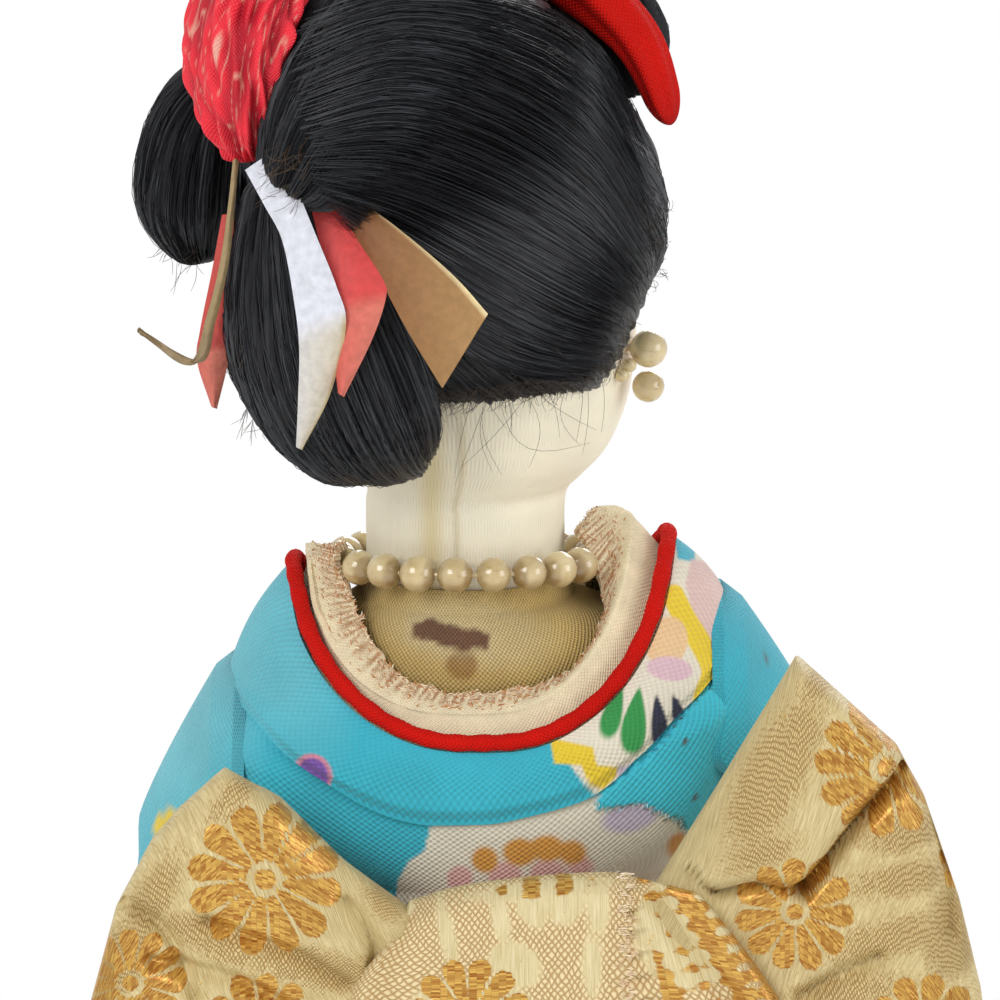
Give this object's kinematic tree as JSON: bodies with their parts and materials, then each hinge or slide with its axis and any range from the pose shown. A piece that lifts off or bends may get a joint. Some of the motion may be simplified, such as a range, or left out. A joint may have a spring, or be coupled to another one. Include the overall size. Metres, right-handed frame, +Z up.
{
  "type": "geisha doll",
  "caption": "Standing geisha doll in a crepe kimono with a brocade bow, on a lacquered base; the head turns, the arms lift, the ear drops swing and the necklace slides round.",
  "frame": {"origin": "middle of the underside of the base", "axes": "+Z up, the doll faces -Y and its left hand is at +X"},
  "size_m": [0.132, 0.118, 0.3364],
  "materials": {
    "lacquer": "black lacquer, polished",
    "steel_wire": "bare drawn wire",
    "peg_wood": "plain turned softwood",
    "straw": "bound straw bundle",
    "wadding": "paper-wrapped wadding",
    "gauze": "open-weave cotton gauze",
    "silk_skin": "cream silk stretched over a moulded form",
    "white_cotton": "plain cotton",
    "sandal_red": "red lacquer",
    "kimono_crepe": "turquoise ribbed crepe with a floral print",
    "red_crepe": "red crinkled crepe",
    "cream_brocade": "cream brocade with frayed gold thread",
    "gold_brocade": "cream and gold satin brocade",
    "hair_silk": "combed black silk thread",
    "white_paper": "white crinkled paper",
    "red_paper": "salmon red crinkled paper",
    "gold_paper": "tan and gold paper",
    "pearl": "pearl lacquer"
  },
  "bodies": {
    "figure": {"base_board": "lacquer", "straw_core": "straw", "torso_gauze": "gauze", "kimono_skirt": "kimono_crepe", "kimono_bodice": "kimono_crepe", "kimono_collar": "kimono_crepe", "collar_piping": "red_crepe", "under_collar": "cream_brocade", "underskirt": "red_crepe", "sash_band": "gold_brocade", "sash_scarf": "red_crepe", "sash_cord": "red_crepe", "bow_pad": "wadding", "bow_knot": "gold_brocade", "bow_wing_left": "gold_brocade", "bow_wing_right": "gold_brocade", "bow_tail_left": "gold_brocade", "bow_tail_right": "gold_brocade", "left_sandal": "sandal_red", "left_sandal_strap": "red_crepe", "left_sock_foot": "white_cotton", "left_leg": "wadding", "left_leg_wire": "steel_wire", "right_sandal": "sandal_red", "right_sandal_strap": "red_crepe", "right_sock_foot": "white_cotton", "right_leg": "wadding", "right_leg_wire": "steel_wire"},
    "head": {"head": "silk_skin", "neck_peg": "peg_wood", "hair_cap": "hair_silk", "hair_topknot": "hair_silk", "hair_front_puff": "hair_silk", "hair_nape_loop": "hair_silk", "hair_side_loop_left": "hair_silk", "hair_side_loop_right": "hair_silk", "red_crepe_tie": "red_crepe", "red_head_band": "red_crepe", "ribbon_white": "white_paper", "ribbon_red": "red_paper", "ribbon_gold": "gold_paper", "ribbon_gold_far": "gold_paper", "ribbon_red_far": "red_paper", "left_ear_stud": "pearl", "right_ear_stud": "pearl"},
    "left_arm": {"left_arm": "wadding", "left_shoulder_wire": "steel_wire", "left_hand": "silk_skin", "left_sleeve": "kimono_crepe"},
    "right_arm": {"right_arm": "wadding", "right_shoulder_wire": "steel_wire", "right_hand": "silk_skin", "right_sleeve": "kimono_crepe"},
    "necklace": {"pearl_necklace": "pearl"},
    "left_ear_drop": {"left_ear_drop": "pearl"},
    "right_ear_drop": {"right_ear_drop": "pearl"}
  },
  "joints": [
    {"name": "head_turn", "type": "hinge", "parent": "figure", "child": "head", "pos_m": [0, 0, 0.258], "axis": [0, 0, 1], "range_deg": [-30, 75]},
    {"name": "left_arm_raise", "type": "hinge", "parent": "figure", "child": "left_arm", "pos_m": [0.0329, 0, 0.231], "axis": [-1, 0, 0], "range_deg": [-8, 60]},
    {"name": "right_arm_raise", "type": "hinge", "parent": "figure", "child": "right_arm", "pos_m": [-0.0359, 0, 0.242], "axis": [-1, 0, 0], "range_deg": [-12, 30]},
    {"name": "necklace_turn", "type": "hinge", "parent": "figure", "child": "necklace", "pos_m": [0, 0, 0.2617], "axis": [0, -0.0872, 0.9962], "continuous": true},
    {"name": "left_ear_swing", "type": "hinge", "parent": "head", "child": "left_ear_drop", "pos_m": [0.0078, -0.01936, 0.28405], "axis": [0.4226, -0.9063, 0], "range_deg": [-30, 30]},
    {"name": "right_ear_swing", "type": "hinge", "parent": "head", "child": "right_ear_drop", "pos_m": [-0.02041, 0.00432, 0.28405], "axis": [-0.9659, 0.2588, 0], "range_deg": [-30, 30]}
  ]
}
